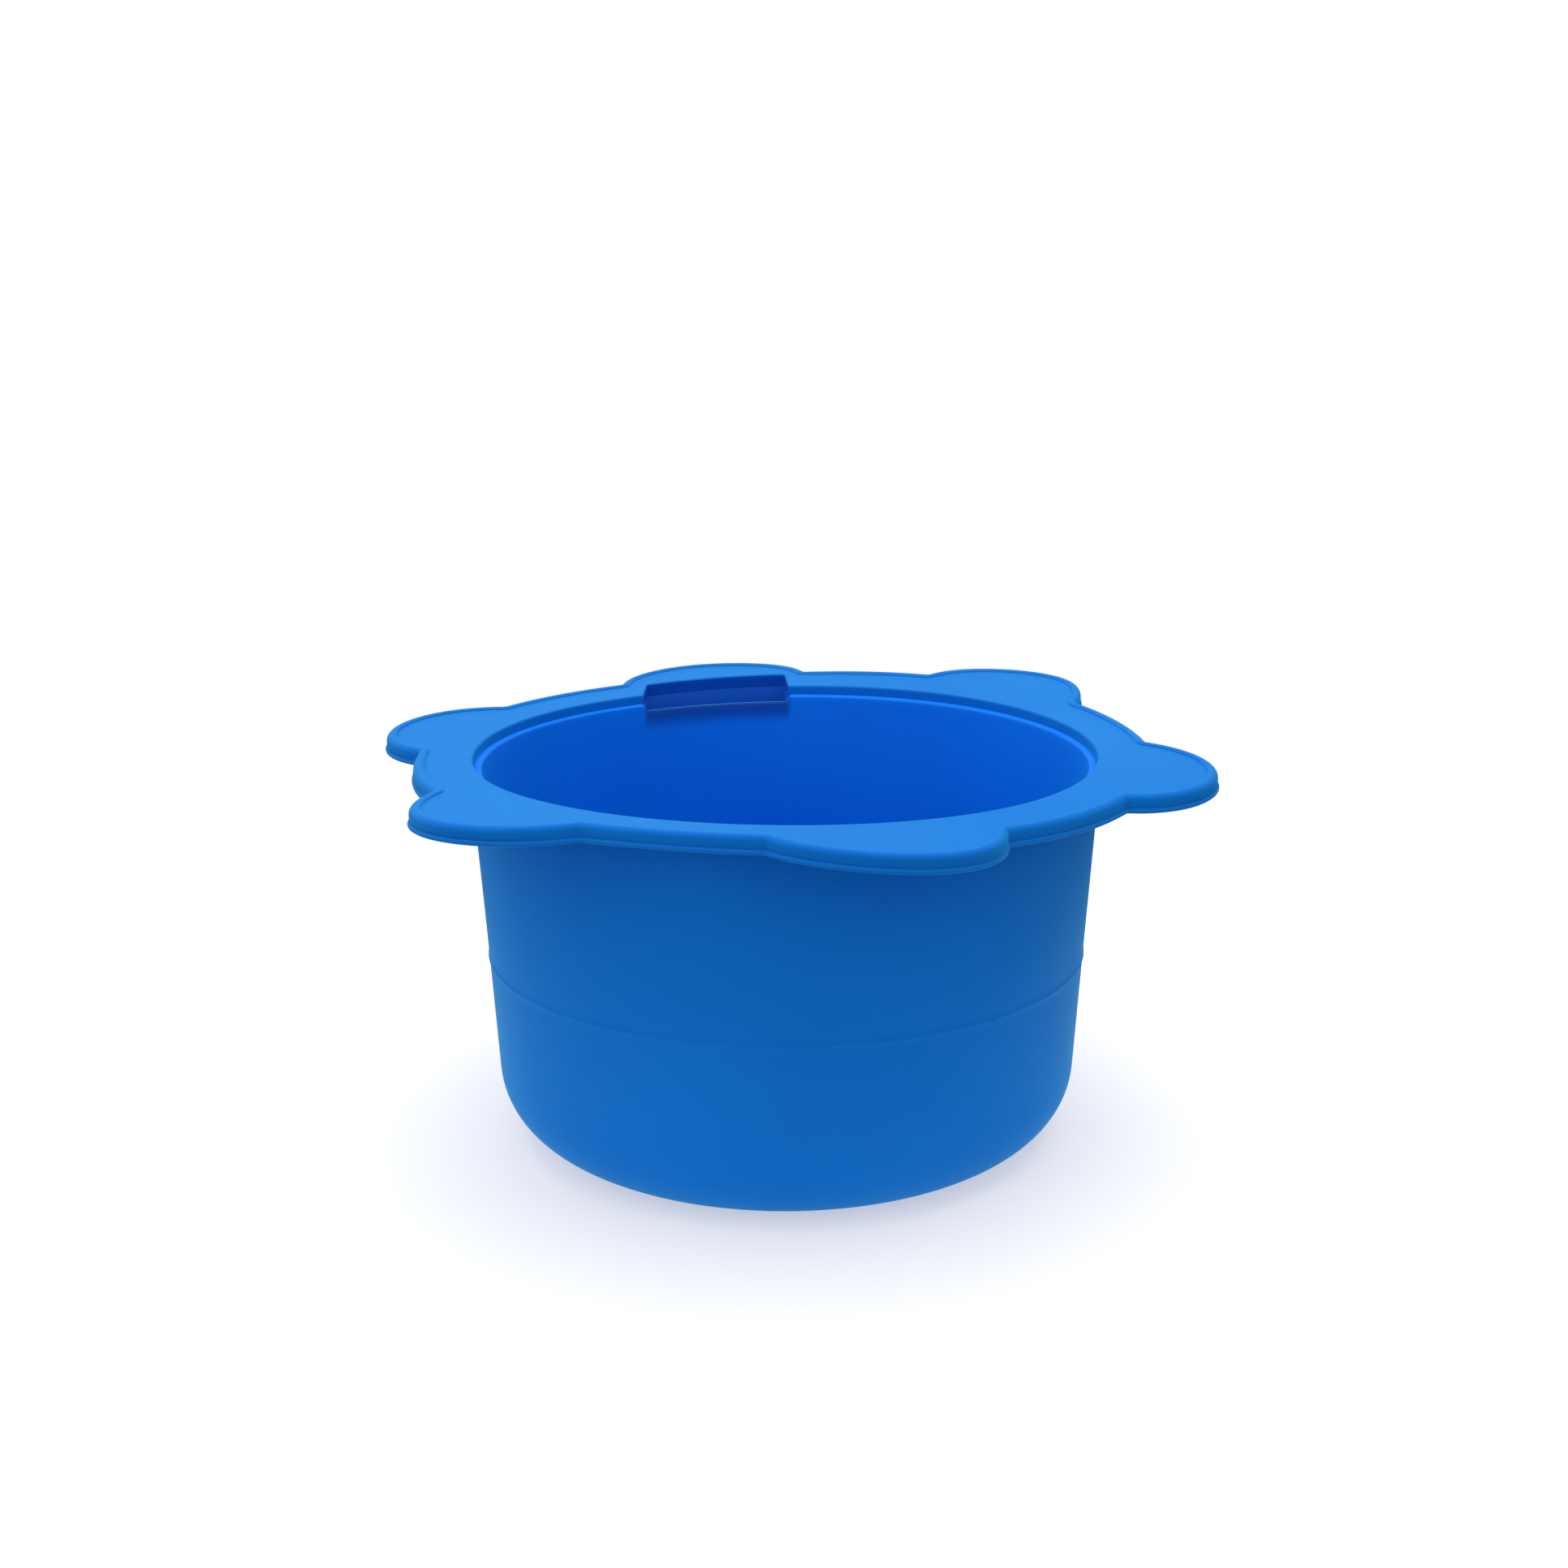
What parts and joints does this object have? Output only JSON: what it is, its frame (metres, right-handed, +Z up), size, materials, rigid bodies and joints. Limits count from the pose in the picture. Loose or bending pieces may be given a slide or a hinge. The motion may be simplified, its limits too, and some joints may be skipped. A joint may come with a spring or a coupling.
{
  "type": "paw washer cup",
  "caption": "Soft silicone paw washer cup with an eared brim, a finger pocket and a bristle insert that lifts out.",
  "frame": {"origin": "centre of the flat base, on the surface that the cup stands on", "axes": "+Z up along the cup's axis, +Y towards the ear with the finger notch"},
  "size_m": [0.1232, 0.1368, 0.0634],
  "materials": {
    "cup_silicone": "matte",
    "insert_silicone": "matte",
    "bristle_silicone": "matte"
  },
  "bodies": {
    "cup": {"cup_shell": "cup_silicone", "lower_brim": "cup_silicone", "rim_ring": "cup_silicone", "finger_pocket": "cup_silicone"},
    "insert": {"insert_collar": "insert_silicone", "insert_sleeve": "insert_silicone", "insert_floor": "insert_silicone", "wall_bristles_low": "bristle_silicone", "wall_bristles_middle": "bristle_silicone", "wall_bristles_top": "bristle_silicone", "floor_bristles": "bristle_silicone", "lift_tabs": "insert_silicone"}
  },
  "joints": [
    {"name": "insert_lift", "type": "slide", "parent": "cup", "child": "insert", "axis": [0, 0, 1], "range_m": [0, 0.07]}
  ]
}
